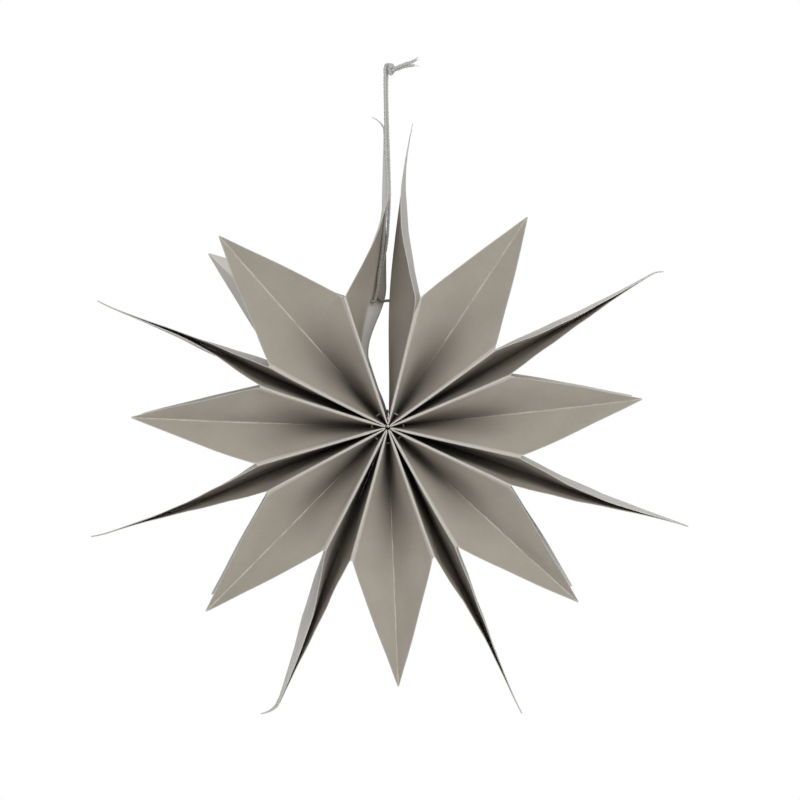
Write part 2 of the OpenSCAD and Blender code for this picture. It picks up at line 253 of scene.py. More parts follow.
def gusset_at(bag, side, face, x, s, run):
    x, s = np.broadcast_arrays(np.asarray(x, float), np.asarray(s, float))
    layer = side * (PAPER_T + FOLD_GAP) * squeeze(s)
    under = across(LINE_ANGLE[line_of(bag, side)]) * layer[..., None]
    fold = (panel_at(bag, side, face, HALF_W, np.minimum(s, SIDE_L)) + under
            + run * np.clip(s - SIDE_L, 0, None)[..., None])
    half = across(mid_angle(bag)) * side * (PAPER_T + FOLD_GAP) / 2
    crease = crease_root(bag, face) + run * s[..., None] - half
    return fold + (crease - fold) * (x / GUSSET_D)[..., None]


# Columns of the sheet, close together at the folds
PANEL_X = [0.75, 1.5, 2.5, 4, 6, 8.5, 10.5, 12, 13.5, 16, 18.5, 21, 23.5, 26, 28,
           29.8, 31.2, 32.1, 32.6, 33]
ARC = [30, 60, 90, 120, 150]
GUSSET_X = [0, 0.4, 0.9, 1.8, 3.2, 5, 7, 9, 11, 13, 15, 17, 18.8, 20.2, 21.1, 21.6, 21.85]
ROWS = 60


def quarter(side, face):
    return ([("panel", side, face, x) for x in PANEL_X] + [("arc", side, face, t) for t in ARC]
            + [("gusset", side, face, x) for x in GUSSET_X])


COLUMNS = ([("panel", -1, 1, 0.0)] + quarter(-1, 1) + [("crease", -1, 1, GUSSET_D)]
           + quarter(1, 1)[::-1] + [("panel", 1, 1, 0.0)] + quarter(1, -1)
           + [("crease", 1, -1, GUSSET_D)] + quarter(-1, -1)[::-1])
CUT_BULGE = 1.6
PAST_END, PRESSED_FROM, PRESSED_OVER, PRESSED_GUSSET = 1.15, 9, 8, 12
FOLD_SWELL, SWELL_L, SWELL_W = 0.32, 9, 2.2


def far_end(kind, x, short):
    """Where a column ends, at the cut."""
    if kind == "panel":
        return BAG_L - (BAG_L - SIDE_L + short) * x / HALF_W
    if kind == "arc":
        return SIDE_L - short * (1 - x / 180)
    return (SIDE_L + (CREASE_L - SIDE_L) * x / GUSSET_D
            + CUT_BULGE * math.sin(math.pi * x / GUSSET_D))


def near_end(kind, x):
    """The folds run on past the closed end, squeezed together around the axis."""
    if kind == "panel":
        return -PAST_END * float(ease((x - PRESSED_FROM) / PRESSED_OVER))
    if kind == "arc":
        return -PAST_END
    return -PAST_END * (1 - float(ease(x / PRESSED_GUSSET)))


def fold_swell(s):
    """Half the extra width of a side fold, which is soft and round except at the pressed middle."""
    return FOLD_SWELL * ease(s / SWELL_L)


# Waves: height, length along the sheet, length across it, share of the phase
WAVES = [(0.22, 9.7, 6.1, 1.0), (0.16, 5.3, -4.2, 2.3), (0.25, 21, 13, 1.7)]
WAVE_FROM, WAVE_PARTED = 30, 1.5
BAG_PHASE, SIDE_PHASE, FACE_PHASE, GUSSET_PHASE = 2.1, 0.7, 1.3, 4.0
# Widths beside the glue and the folds in which the waves die out
CALM_GLUE, CALM_PANEL, CALM_EDGE, CALM_RIDGE, CALM_VALLEY = 2, 8, 7, 7, 6
CROWN_H, CROWN_FROM, CROWN_VARIES, CROWN_PHASE = 0.35, 45, 0.6, 3.7


def waviness(bag, side, face, kind, x, s):
    """Slight waves and crown of the paper between its folds."""
    p = (bag * BAG_PHASE + side * SIDE_PHASE + face * FACE_PHASE
         + (GUSSET_PHASE if kind == "gusset" else 0.0))
    if kind == "panel":
        parted = slope(bag, side, face, np.full_like(s, x), s) * max(0, x - GLUE_W / 2)
        free = (ease((x - CALM_GLUE) / CALM_PANEL) * ease((HALF_W - x) / CALM_EDGE)
                * ease(s / WAVE_FROM) * np.clip(parted / WAVE_PARTED, 0, 1))
        crown = 0
    else:
        free = (ease(x / CALM_RIDGE) * ease((GUSSET_D - x) / CALM_VALLEY)
                * ease(s / WAVE_FROM))
        crown = (CROWN_H * math.sin(math.pi * x / GUSSET_D) * ease(s / CROWN_FROM)
                 * (1 + CROWN_VARIES * math.sin(p * CROWN_PHASE)))
    wave = sum(high * np.sin(s / lengthwise + x / crosswise + share * p)
               for high, lengthwise, crosswise, share in WAVES)
    return free * wave + crown


def panel_column(bag, side, face, x, s):
    swell = fold_swell(s) * math.exp(-((HALF_W - x) / SWELL_W) ** 2)
    out = swell + waviness(bag, side, face, "panel", x, s)
    return panel_at(bag, side, face, x, s) - panel_in(bag, side, face, x, s) * out[:, None]


def arc_column(bag, side, face, turn, s, run):
    """The round of a side fold, from the panel to the gusset."""
    inward = panel_in(bag, side, face, HALF_W, s)
    swell = fold_swell(s)[:, None]
    a = panel_at(bag, side, face, HALF_W, s) - inward * swell
    b = gusset_at(bag, side, face, 0, s, run) + inward * swell
    k = slope(bag, side, face, np.full_like(s, HALF_W), s)[:, None]
    ahead = (across(LINE_ANGLE[line_of(bag, side)]) * side * k
             + TOWARD * face * np.sqrt(1 - k * k))
    mid, arm = (a + b) / 2, (a - b) / 2
    th = math.radians(turn)
    reach = np.linalg.norm(arm, axis=1, keepdims=True)
    return mid + arm * math.cos(th) + ahead * reach * math.sin(th)


def gusset_column(bag, side, face, x, s, run):
    inward = panel_in(bag, side, face, HALF_W, np.minimum(s, SIDE_L))
    rule = (gusset_at(bag, side, face, GUSSET_D, s, run)
            - gusset_at(bag, side, face, 0, s, run))
    outward = -unit(np.cross(rule, run)) * side * face
    swell = fold_swell(s) * math.exp(-(x / SWELL_W) ** 2)
    return (gusset_at(bag, side, face, x, s, run) + inward * swell[:, None]
            + outward * waviness(bag, side, face, "gusset", x, s)[:, None])


# Facts of the sheet that its looks depend on, kept at each point, in millimetres or as shares
FACTS = ["fold_ridge", "fold_valley", "cut_edge", "sheet_along", "sheet_across",
         "painted_light_strip", "fold_shade", "inner_side"]
NO_FOLD, ARC_LEAN, BACK_OFFSET = 99.0, 2.0, 70
# Painted light on the left end panel: how far out from its middle and along it the paler strip
# reaches, and the fades
LIT_STRIP_X, LIT_STRIP_X_FADE, LIT_STRIP_S, LIT_STRIP_S_FADE = 9.5, 3, 54, 5
# Painted shade in the folds: its width beside a side fold, and where along the sheet it fades out
FOLD_SHADE_W, FOLD_SHADE_FROM, FOLD_SHADE_FADE = 20, 16, 64


def sheet_middle(bag):
    """Middle surface of one bag's sheet, columns by rows, with the facts of its paper."""
    runs = {1: crease_run(bag, 1), -1: crease_run(bag, -1)}
    t = np.linspace(0, 1, ROWS + 1)
    pts, facts = [], []
    for kind, side, face, x in COLUMNS:
        run = runs[face]
        far = far_end(kind, x, CUT_SHORT if (bag, side, face) == LOW_CUT_PANEL else 0.0)
        start = near_end(kind, x)
        s = start + (far - start) * (t + ease(t)) / 2
        valley = NO_FOLD
        if kind == "panel":
            p = panel_column(bag, side, face, x, s)
            ridge, sheet = HALF_W - x, x
            lean = math.hypot(HALF_W, BAG_L - SIDE_L) / HALF_W
        elif kind == "arc":
            p = arc_column(bag, side, face, x, s, run)
            ridge, sheet, lean = 0.0, HALF_W, ARC_LEAN
        else:
            if kind == "crease":
                p = crease_root(bag, face) + run * s[:, None]
            else:
                p = gusset_column(bag, side, face, x, s, run)
            ridge, valley, sheet = x, GUSSET_D - x, HALF_W + x
            lean = SLANT_L / GUSSET_D
        pts.append(p)
        cut = (far - s) / lean
        painted_light = 0 * s
        # Painted light: a paler strip on the left end panel, from its middle to near the soft
        # crease, below the hole
        if kind == "panel" and (bag, side, face) == PULLED_PANEL:
            painted_light = ((1 - ease((x - LIT_STRIP_X) / LIT_STRIP_X_FADE))
                    * (1 - ease((s - LIT_STRIP_S) / LIT_STRIP_S_FADE)))
        # Painted shade: darker towards the closed end and away from the side folds, none on the two
        # free end panels
        fold_shade = ease(ridge / FOLD_SHADE_W) * (1 - ease((s - FOLD_SHADE_FROM) / FOLD_SHADE_FADE))
        if kind == "panel" and (bag, side) in (LOW_CUT_PANEL[:2], PULLED_PANEL[:2]):
            fold_shade = 0 * s
        place = sheet * side + BACK_OFFSET * (face < 0)
        facts.append(np.stack([np.full_like(s, ridge), np.full_like(s, valley), cut, s,
                               np.full_like(s, place), painted_light, fold_shade], axis=-1))
    return lifted(np.array(pts)), np.array(facts)


def mesh_object(name, verts, faces, material, smooth_angle=None):
    me = bpy.data.meshes.new(name)
    me.from_pydata([tuple(v) for v in verts], [], [tuple(f) for f in faces])
    me.validate()
    me.polygons.foreach_set("use_smooth", [True] * len(me.polygons))
    if smooth_angle is not None:
        me.set_sharp_from_angle(angle=math.radians(smooth_angle))
    me.materials.append(material)
    ob = bpy.data.objects.new(name, me)
    scene.collection.objects.link(ob)
    return ob


def add_fact(ob, name, values):
    at = ob.data.attributes.new(name, "FLOAT", "POINT")
    at.data.foreach_set("value", values.astype(np.float32))


SHARP_ANGLE = 50
PINCH_R, PINCH_W = 0.15, 3
# A point inside a front left panel, as column and row and as x and s, that tells the inner side
PROBE_COLUMN, PROBE_ROW, PROBE_X, PROBE_S = 7, 30, 10.0, 40.0
# Facts at the drawn-in closed ends, which take the full painted shade
END_FACTS = [20.0, NO_FOLD, 9.0, 0.0, 0.0, 0.0, 1.0]


def depth_of(column):
    """How far towards the front a panel's column lies."""
    return COLUMNS[column][2] * COLUMNS[column][3]


def paper_bag(bag, material):
    mid, facts = sheet_middle(bag)
    n, m = mid.shape[:2]
    d_col = np.roll(mid, -1, axis=0) - np.roll(mid, 1, axis=0)
    d_row = np.gradient(mid, axis=1)
    normal = unit(np.cross(d_col, d_row))
    if normal[PROBE_COLUMN, PROBE_ROW] @ panel_in(bag, -1, 1, PROBE_X, PROBE_S) < 0:
        normal = -normal
    half = (PAPER_T / 2 * squeeze(facts[..., 3]))[..., None]
    outer = mid - normal * half
    inner = mid + normal * half
    verts = np.concatenate([outer.reshape(-1, 3), inner.reshape(-1, 3)])
    flat = facts.reshape(-1, facts.shape[2])
    data = np.concatenate([np.column_stack([flat, np.full(len(flat), v)]) for v in (0.0, 1.0)])
    # Both sides of the paper, and its thickness at the cut
    grid = np.arange(n * m).reshape(n, m)
    beside = np.roll(grid, -1, axis=0)
    a, b = grid[:, :-1].ravel(), beside[:, :-1].ravel()
    c, d = beside[:, 1:].ravel(), grid[:, 1:].ravel()
    first = np.cross(verts[b[0]] - verts[a[0]], verts[d[0]] - verts[a[0]]) @ normal[0, 0]
    skin = np.stack([a, d, c, b], axis=1)
    off = n * m
    e, f = grid[:, -1], beside[:, -1]
    faces = [skin, skin[:, ::-1] + off, np.stack([e, e + off, f + off, f], axis=1)]
    # The closed end, drawn in to a point in its middle, on both sides of the paper
    near = [i for i, (kind, _, _, x) in enumerate(COLUMNS)
            if kind == "panel" and x <= HALF_W - GUSSET_D]
    left = sorted((i for i in near if COLUMNS[i][1] < 0), key=depth_of)
    right = sorted((i for i in near if COLUMNS[i][1] > 0), key=depth_of)
    free = np.array([i for i in range(n) if i not in near or (i + 1) % n not in near])
    g, h = grid[free, 0], grid[(free + 1) % n, 0]
    faces.append(np.stack([g, h, h + off, g + off], axis=1))
    outward = along(mid_angle(bag))
    points = []
    for x in map(depth_of, left):
        r = PINCH_R + (HUB_R - PINCH_R) * ease(abs(x) / PINCH_W)
        points.append(outward * r + TOWARD * x)
    points = np.array(points)
    base = len(verts) + np.arange(len(left))
    deep = base + len(left)
    verts = np.concatenate([verts, lifted(points), lifted(points + outward * PAPER_T)])
    data = np.concatenate([data, [END_FACTS + [0.0]] * len(left), [END_FACTS + [1.0]] * len(left)])
    le, ri = grid[left, 0], grid[right, 0]
    ends = []
    for j in range(len(left) - 1):
        k = j + 1
        ends += [(le[j], le[k], base[k], base[j]), (base[j], base[k], ri[k], ri[j]),
                 (deep[j], deep[k], le[k] + off, le[j] + off),
                 (ri[j] + off, ri[k] + off, deep[k], deep[j])]
    ends += [(le[0], base[0], deep[0], le[0] + off), (base[0], ri[0], ri[0] + off, deep[0]),
             (base[-1], le[-1], le[-1] + off, deep[-1]),
             (ri[-1], base[-1], deep[-1], ri[-1] + off)]
    faces.append(np.array(ends))
    faces = np.concatenate(faces)
    if first < 0:
        faces = faces[:, ::-1]
    ob = mesh_object("star_bag_%d" % (bag + 1), metres(verts), faces, material, SHARP_ANGLE)
    for i, fact in enumerate(FACTS):
        add_fact(ob, fact, data[:, i])
    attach(ob, "root")
    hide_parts("paper_bag_%d" % (bag + 1))


# Materials
PAPER_DARK, PAPER_LIGHT = (0.318, 0.289, 0.246), (0.392, 0.362, 0.316)
# The last colour is painted light, for the strip below the left end panel's hole
INNER_SIDE, PAINTED_LIGHT_COLOUR = (0.60, 0.59, 0.565), (0.64, 0.64, 0.625)
# Painted shade: the dark colour of the folds near the closed ends, and that of the lower strings
FOLD_SHADE_COLOUR, STRING_SHADE_COLOUR = (0.105, 0.093, 0.078), (0.15, 0.135, 0.115)
WORN_FOLD, CRACKED, RAW_EDGE = (0.60, 0.575, 0.53), (0.64, 0.615, 0.57), (0.62, 0.60, 0.56)
SEED_STEP = 37.0
GRAIN = (1.0, 0.22, 1.0)
# Heights below which the strings are painted in full shade, and above which not at all
STRING_SHADE_LOW, STRING_SHADE_HIGH = -0.088, -0.055


def new_material(name):
    mat = bpy.data.materials.new(name)
    mat.use_nodes = True
    nt = mat.node_tree
    nt.nodes.clear()
    out = nt.nodes.new("ShaderNodeOutputMaterial")
    return mat, nt, out


def math_node(nt, op, a, b=None, c=None, clamp=False):
    n = nt.nodes.new("ShaderNodeMath")
    n.operation = op
    n.use_clamp = clamp
    for i, v in enumerate((a, b, c)):
        if v is None:
            continue
        if isinstance(v, (int, float)):
            n.inputs[i].default_value = v
        else:
            nt.links.new(v, n.inputs[i])
    return n.outputs[0]


def times(nt, a, b):
    return math_node(nt, "MULTIPLY", a, b)


def less(nt, a, b, clamp=False):
    return math_node(nt, "SUBTRACT", a, b, clamp=clamp)


def times_plus(nt, a, b, c, clamp=False):
    return math_node(nt, "MULTIPLY_ADD", a, b, c, clamp=clamp)


def smooth_step(nt, value, low, high):
    """1 at low, 0 at high."""
    n = nt.nodes.new("ShaderNodeMapRange")
    n.interpolation_type = "SMOOTHSTEP"
    n.inputs["From Min"].default_value = low
    n.inputs["From Max"].default_value = high
    n.inputs["To Min"].default_value = 1
    n.inputs["To Max"].default_value = 0
    nt.links.new(value, n.inputs["Value"])
    return n.outputs["Result"]


def noise(nt, vector, scale, detail=3.0, rough=0.55):
    n = nt.nodes.new("ShaderNodeTexNoise")
    n.inputs["Scale"].default_value = scale
    n.inputs["Detail"].default_value = detail
    n.inputs["Roughness"].default_value = rough
    nt.links.new(vector, n.inputs["Vector"])
    return n.outputs["Fac"]


def mix_colour(nt, fac, a, b):
    n = nt.nodes.new("ShaderNodeMix")
    n.data_type = "RGBA"
    ins = [i for i in n.inputs if i.enabled]
    for sock, v in zip(ins, (fac, a, b)):
        if isinstance(v, tuple):
            sock.default_value = (*v, 1)
        else:
            nt.links.new(v, sock)
    return [o for o in n.outputs if o.enabled][0]


def attribute(nt, name):
    n = nt.nodes.new("ShaderNodeAttribute")
    n.attribute_name = name
    return n.outputs["Fac"]


def add_bump(nt, bsdf, height, strength, distance):
    bump = nt.nodes.new("ShaderNodeBump")
    bump.inputs["Strength"].default_value = strength
    bump.inputs["Distance"].default_value = distance
    nt.links.new(height, bump.inputs["Height"])
    nt.links.new(bump.outputs[0], bsdf.inputs["Normal"])


def paper_material(name, seed):
    mat, nt, out = new_material(name)
    ridge, valley, cut, s, x, painted_light, fold_shade, inner = (attribute(nt, f) for f in FACTS)
    sheet = nt.nodes.new("ShaderNodeCombineXYZ")
    nt.links.new(x, sheet.inputs[0])
    nt.links.new(s, sheet.inputs[1])
    sheet.inputs[2].default_value = seed * SEED_STEP
    place = sheet.outputs[0]
    long_way = nt.nodes.new("ShaderNodeMapping")
    long_way.inputs["Scale"].default_value = GRAIN
    nt.links.new(place, long_way.inputs["Vector"])
    cloud = noise(nt, place, scale=0.06, detail=3)
    pulp = noise(nt, place, scale=0.55, detail=4, rough=0.6)
    fibre = noise(nt, long_way.outputs[0], scale=2.6, detail=3, rough=0.6)
    # Pulp: soft clouds and short fibres
    tone = times_plus(nt, cloud, 0.9, times(nt, pulp, 0.5))
    tone = times_plus(nt, fibre, 0.35, tone)
    tone = less(nt, tone, 0.42, clamp=True)
    colour = mix_colour(nt, tone, PAPER_DARK, PAPER_LIGHT)
    # The inner side is paler and greyer. Painted light: a paler grey strip on the left end panel
    # below its hole, where it faces the light
    colour = mix_colour(nt, times(nt, inner, 0.8), colour, INNER_SIDE)
    colour = mix_colour(nt, times(nt, painted_light, 0.85), colour, PAINTED_LIGHT_COLOUR)
    # Painted shade: the folds darken towards the closed end, where the hub's shade falls, on the
    # outer side only
    fold_shade = times(nt, fold_shade, less(nt, 1.0, inner))
    colour = mix_colour(nt, times(nt, fold_shade, 0.85), colour, FOLD_SHADE_COLOUR)
    # Worn, paler side folds
    edge = times_plus(nt, less(nt, pulp, 0.5), 1.2, ridge)
    worn = times(nt, smooth_step(nt, edge, low=0.1, high=1.5), 0.75)
    colour = mix_colour(nt, worn, colour, WORN_FOLD)
    # Ragged pale crack along the middle fold of a gusset
    jag = noise(nt, place, scale=0.9, detail=4, rough=0.7)
    off = times_plus(nt, less(nt, jag, 0.5), 0.9, valley)
    crack = smooth_step(nt, math_node(nt, "ABSOLUTE", off), low=0.08, high=0.34)
    gaps = smooth_step(nt, noise(nt, place, scale=0.12, detail=2), low=0.62, high=0.42)
    gaps = times(nt, gaps, smooth_step(nt, s, low=34.0, high=22.0))
    crack = times(nt, crack, less(nt, 1.0, gaps))
    crack = times(nt, crack, less(nt, 1.0, smooth_step(nt, s, low=26.0, high=60.0)))
    colour = mix_colour(nt, times(nt, crack, 0.6), colour, CRACKED)
    # Pale fibres at the cut edges
    fray = times_plus(nt, less(nt, jag, 0.5), 0.3, cut)
    raw = times(nt, smooth_step(nt, fray, low=0.05, high=0.4), 0.6)
    colour = mix_colour(nt, raw, colour, RAW_EDGE)
    bsdf = nt.nodes.new("ShaderNodeBsdfPrincipled")
    bsdf.inputs["Specular IOR Level"].default_value = 0.2
    nt.links.new(colour, bsdf.inputs["Base Color"])
    nt.links.new(times_plus(nt, pulp, 0.2, 0.74), bsdf.inputs["Roughness"])
    height = times_plus(nt, fibre, 0.5, pulp)
    height = times_plus(nt, crack, 0.8, height)
    add_bump(nt, bsdf, height, strength=0.25, distance=0.0002)
    nt.links.new(bsdf.outputs[0], out.inputs[0])
    return mat


def yarn_material(name, dark, light, shade_share):
    mat, nt, out = new_material(name)
    along_yarn = attribute(nt, "yarn_along")
    around = attribute(nt, "yarn_around")
    place = nt.nodes.new("ShaderNodeCombineXYZ")
    nt.links.new(times(nt, along_yarn, 0.35), place.inputs[0])
    nt.links.new(around, place.inputs[1])
    geo = nt.nodes.new("ShaderNodeTexCoord")
    fuzz = noise(nt, geo.outputs["Object"], scale=1400.0, detail=3, rough=0.6)
    hair = noise(nt, place.outputs[0], scale=3.2, detail=4, rough=0.65)
    tone = times_plus(nt, hair, 1.1, times_plus(nt, fuzz, 0.25, -0.2), clamp=True)
    colour = mix_colour(nt, tone, dark, light)
    # Painted shade: darker towards the bottom, from the holes up along the end panels, where the
    # strings hang in shade
    height = nt.nodes.new("ShaderNodeSeparateXYZ")
    nt.links.new(geo.outputs["Object"], height.inputs[0])
    string_shade = times(nt, smooth_step(nt, height.outputs["Z"], STRING_SHADE_LOW, STRING_SHADE_HIGH), shade_share)
    colour = mix_colour(nt, string_shade, colour, STRING_SHADE_COLOUR)
    bsdf = nt.nodes.new("ShaderNodeBsdfPrincipled")
    bsdf.inputs["Specular IOR Level"].default_value = 0.15
    bsdf.inputs["Sheen Weight"].default_value = 0.25
    bsdf.inputs["Sheen Roughness"].default_value = 0.6
    nt.links.new(colour, bsdf.inputs["Base Color"])
    nt.links.new(times_plus(nt, hair, 0.12, 0.82), bsdf.inputs["Roughness"])
    add_bump(nt, bsdf, hair, strength=0.5, distance=0.00015)
    nt.links.new(bsdf.outputs[0], out.inputs[0])
    return mat


# The last number is how strongly the lower part of each yarn is painted in shade
STRING = yarn_material("cotton_string", (0.36, 0.36, 0.35), (0.56, 0.56, 0.55), 0.72)
FIBRE = yarn_material("string_fibre", (0.42, 0.42, 0.41), (0.62, 0.62, 0.61), 0.72)
THREAD = yarn_material("binding_thread", (0.40, 0.37, 0.32), (0.62, 0.58, 0.51), 0.1)


# Strings
def smooth_path(points, steps):
    p = np.asarray(points, float)
    last = len(p) - 1
    out = []
    for i in range(last):
        a, b, c, d = p[max(0, i - 1)], p[i], p[i + 1], p[min(last, i + 2)]
        for k in range(steps):
            t = k / steps
            out.append(0.5 * (2 * b + (c - a) * t + (2 * a - 5 * b + 4 * c - d) * t * t
                              + (3 * b - a - 3 * c + d) * t ** 3))
    out.append(p[last])
    return np.array(out)


def even_path(points, step):
    p = np.asarray(points, float)
    d = np.concatenate([[0], np.cumsum(np.linalg.norm(np.diff(p, axis=0), axis=1))])
    n = max(4, int(d[-1] / step))
    t = np.linspace(0, d[-1], n + 1)
    return np.stack([np.interp(t, d, p[:, i]) for i in range(3)], axis=1), t


# Plies of a yarn: how far out and how thick, as shares of its radius
PLIES, PLY_OUT, PLY_R, CORE_R, END_R = 3, 0.46, 0.54, 0.3, 0.35
# Uneven thickness: share, waves along, share of the phase
UNEVEN = [(0.05, 1.9, 1), (0.04, 4.3, 2)]
FIRST_SIDE = np.array([0.3, 1, 0.2])


def yarn(name, points, radius, material, pitch=5.0, step=0.25, sides=24, taper=0.0, phase=0.0):
    """Twisted yarn along a path in millimetres about the star's axis."""
    path, d = even_path(points, step)
    way = unit(np.gradient(path, axis=0))
    u = unit(np.cross(way[0], FIRST_SIDE))
    th = np.arange(sides) * 2 * math.pi / sides
    a, b = PLY_OUT * radius, PLY_R * radius
    verts, around, length = [], [], []
    for i in range(len(path)):
        u = unit(u - way[i] * (u @ way[i]))
        v = np.cross(way[i], u)
        turn = 2 * math.pi * d[i] / pitch + phase
        r = np.zeros(sides)
        for k in range(PLIES):
            g = np.angle(np.exp(1j * (th - turn - 2 * math.pi * k / PLIES)))
            inside = b * b - (a * np.sin(g)) ** 2
            ply = a * np.cos(g) + np.sqrt(np.maximum(inside, 0))
            r = np.maximum(r, np.where(inside > 0, ply, 0))
        end = min(1.0, (d[-1] - d[i]) / taper) if taper else 1.0
        r = np.maximum(r, CORE_R * radius) * (END_R + (1 - END_R) * math.sqrt(end))
        r = r * sum((share * math.sin(d[i] * waves + n * phase) for share, waves, n in UNEVEN), 1)
        verts.append(path[i] + r[:, None] * (np.cos(th)[:, None] * u + np.sin(th)[:, None] * v))
        around.append((th - turn) * radius)
        length.append(np.full(sides, d[i]))
    rings = len(path)
    faces = []
    for i in range(rings - 1):
        for j in range(sides):
            k = (j + 1) % sides
            faces.append((i * sides + j, i * sides + k, (i + 1) * sides + k, (i + 1) * sides + j))
    faces += [tuple(range(sides - 1, -1, -1)),
              tuple((rings - 1) * sides + j for j in range(sides))]
    ob = mesh_object(name, metres(np.concatenate(verts)), faces, material)
    add_fact(ob, "yarn_along", np.concatenate(length))
    add_fact(ob, "yarn_around", np.concatenate(around))
    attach(ob, "root")
    return ob, metres(path)


def join(name, parts):
    """One piece of several meshes that belong together."""
    bpy.ops.object.select_all(action="DESELECT")
    for p in parts:
        p.select_set(True)
    bpy.context.view_layer.objects.active = parts[0]
    bpy.ops.object.join()
    parts[0].name = name
    return parts[0]


STRING_R, KNOT_R, TAIL_R, STOPPER_R, HAIR_R = 0.72, 0.74, 0.78, 0.7, 0.09
PATH_STEPS, NECK_STEPS, HAIR_STEPS, KNOT_STEPS = 8, 6, 5, 90
SUNK = 0.3
HOLE_S = HOLE_R - HUB_R
LEFT_HOLE_X = 0.3 * HALF_W
left_hole = lifted(panel_at(*PULLED_PANEL, LEFT_HOLE_X, HOLE_S))
left_in = panel_in(*PULLED_PANEL, LEFT_HOLE_X, HOLE_S)
right_hole = lifted(panel_at(*LOW_CUT_PANEL, 0.0, HOLE_S))
right_in = panel_in(*LOW_CUT_PANEL, 0.0, 0.0)
# Ways of the strings: to the right, to the front, share of the height from hole to hanging point
LEFT_WAY = [(-4.9, 10.2, 0.05), (-4.1, 10.2, 0.12), (-2.5, 9.8, 0.22), (-1.6, 9.7, 0.32),
            (-0.7, 10.4, 0.4), (0.2, 10, 0.465), (-0.2, 8.8, 0.54), (-1, 6.3, 0.63),
            (-1.2, 3.2, 0.8), (-1.45, 0.9, 0.95), (-1.4, 0.2, 0.995)]
RIGHT_WAY = [(-1.6, 2.8, 0), (-4.2, 6.8, 0.012), (-4.7, 8, 0.04), (-3.9, 8.5, 0.1),
             (-2.2, 8.6, 0.17), (-0.6, 8.2, 0.25), (0.2, 7.2, 0.34), (0.75, 5.8, 0.46),
             (0.4, 3.6, 0.62), (-0.25, 1.3, 0.8), (-0.5, -0.4, 0.92), (-0.35, -0.9, 0.985)]
LEFT_OUT, RIGHT_OUT = 2, 1.4


def string_path(hole, inward, out, ways):
    points = [np.array([w[0], -w[1], hole[2] + w[2] * (HANG_H - hole[2])]) for w in ways]
    return smooth_path([hole - inward * SUNK, hole - inward * out] + points, PATH_STEPS)


left_path = string_path(left_hole, left_in, LEFT_OUT, LEFT_WAY)
right_path = string_path(right_hole, right_in, RIGHT_OUT, RIGHT_WAY)
left_cord, left_line = yarn("left_cord", left_path, STRING_R, STRING)
right_cord, right_line = yarn("right_cord", right_path, STRING_R, STRING, phase=1.1)


def knot_curve(centre, size):
    t = np.linspace(0, 2 * math.pi, KNOT_STEPS)
    return np.array(centre) + np.stack([size[0] * (np.sin(t) + 2 * np.sin(2 * t)) / 3,
                                        size[1] * -np.sin(3 * t),
                                        size[2] * (np.cos(t) - 2 * np.cos(2 * t)) / 3], axis=1)


def above(points):
    """Points about the hanging point to points about the star's axis."""
    return [(x, y, HANG_H + z) for x, y, z in points]


HAIRS, HAIR_SEED = 9, 5


def tail(name, points, phase):
    """End of a string, frayed into loose fibres."""
    body, _ = yarn(name, smooth_path(points, PATH_STEPS), TAIL_R, STRING,
                   taper=1.6, phase=phase, pitch=4.0)
    parts = [body]
    end = np.array(points[-1], float)
    back = np.array(points[-2], float)
    d = unit(end - back)
    rng = np.random.default_rng(int(phase * 100) + HAIR_SEED)
    for i in range(HAIRS):
        spread = rng.normal(0, 0.2, 3)
        start = end - d * rng.uniform(1.2, 3.0) + rng.normal(0, 0.12, 3)
        tip = end + d * rng.uniform(-0.4, 1.6) + spread * 2.2
        mid = (start + tip) / 2 + rng.normal(0, 0.22, 3)
        hair, _ = yarn("%s_hair_%d" % (name, i), smooth_path([start, mid, tip], HAIR_STEPS),
                       HAIR_R, FIBRE, pitch=2.0, step=0.35, sides=6)
        parts.append(hair)
    return join(name, parts)


LOOP_LEFT = above([(-1.4, -0.2, -0.6), (-1.4, -0.1, 1.6), (-0.6, 0, 3.2), (0.8, 0.2, 3.1),
                   (1.8, 0.4, 2.2)])
LOOP_RIGHT = above([(-0.35, 0.9, -1.7), (-0.3, 1.1, 0.8), (0.5, 1.1, 2.6), (1.6, 0.7, 3.3),
                    (2.4, 0.2, 2.4)])
KNOT_TURN = above([(2.2, -0.9, 2.4), (0.7, -1.3, 1.6), (0.5, -0.2, 0.1), (1.2, 1.0, -1.0),
                   (2.4, 0.6, -0.4), (2.9, -0.6, 0.9), (2.6, -1.0, 2.2)])
TAIL_UPPER = above([(2.2, -0.5, 1.2), (4.2, -0.7, 1.8), (6.4, -0.6, 2.7), (8.6, -0.6, 3.6),
                    (11.4, -0.5, 4.4), (13.6, -0.5, 5.6)])
TAIL_LOWER = above([(2.2, 0.8, 0.4), (4.4, 0.7, 0.9), (6.6, 0.7, 1.8), (9.2, 0.7, 2.5),
                    (11.6, 0.7, 2.8), (12.9, 0.7, 2.8)])
KNOT_AT, KNOT_SIZE = above([(1.45, 0.1, 0.9)])[0], (1.35, 1.0, 2.3)
loop_left, _ = yarn("loop_left", smooth_path(LOOP_LEFT, PATH_STEPS), KNOT_R, STRING, phase=0.4)
loop_right, _ = yarn("loop_right", smooth_path(LOOP_RIGHT, PATH_STEPS), KNOT_R, STRING, phase=2.0)
knot_a, _ = yarn("knot_a", knot_curve(KNOT_AT, KNOT_SIZE), KNOT_R, STRING, phase=0.9)
knot_b, _ = yarn("knot_b", smooth_path(KNOT_TURN, PATH_STEPS), STRING_R, STRING, phase=1.6)
top_knot = join("top_knot", [knot_a, knot_b, loop_left, loop_right])
tail_upper = tail("tail_upper", TAIL_UPPER, 0.3)
tail_lower = tail("tail_lower", TAIL_LOWER, 0.8)

STOPPER_IN, STOPPER_SIZE, NECK_IN = 2.6, (1.5, 1.2, 1.5), (0.8, 2.0)


